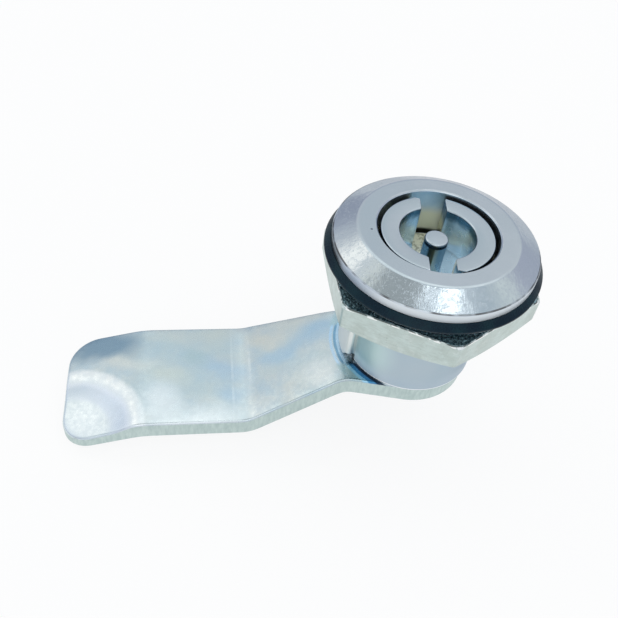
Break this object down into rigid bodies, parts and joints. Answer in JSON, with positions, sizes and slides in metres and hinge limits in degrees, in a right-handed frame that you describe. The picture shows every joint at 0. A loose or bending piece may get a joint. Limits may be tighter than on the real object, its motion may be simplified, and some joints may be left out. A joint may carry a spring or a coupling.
{
  "type": "quarter-turn cabinet lock",
  "caption": "Quarter-turn cabinet lock with round head, keyed insert, panel nut and cranked cam.",
  "frame": {"origin": "lock's axis at the underside of the head, where the gasket seats", "axes": "+Z along the axis out of the panel towards the key, -X along the cam at rest"},
  "size_m": [0.0668, 0.0312, 0.0351],
  "materials": {
    "housing_chrome": "satin chrome plate on a zinc die-casting",
    "gasket_rubber": "smooth black rubber",
    "nut_zinc": "dull pale zinc plate with fine tool marks",
    "insert_chrome": "satin chrome plate on a zinc die-casting",
    "seal_rubber": "greased black rubber",
    "cam_zinc": "bright blue zinc plate with faint clouds and paler sheared edges",
    "fastener_zinc": "bright zinc plate",
    "spring_zinc": "zinc plate on spring steel"
  },
  "bodies": {
    "lock_body": {"housing": "housing_chrome", "head_gasket": "gasket_rubber", "hex_nut": "nut_zinc"},
    "rotor": {"insert": "insert_chrome", "shaft_seal": "seal_rubber", "cam": "cam_zinc", "plain_washer": "fastener_zinc", "spring_washer": "spring_zinc", "cam_screw": "fastener_zinc"}
  },
  "joints": [
    {"name": "cam_turn", "type": "hinge", "parent": "lock_body", "child": "rotor", "pos_m": [0, 0, 0], "axis": [0, 0, 1], "range_deg": [0, 90]}
  ]
}
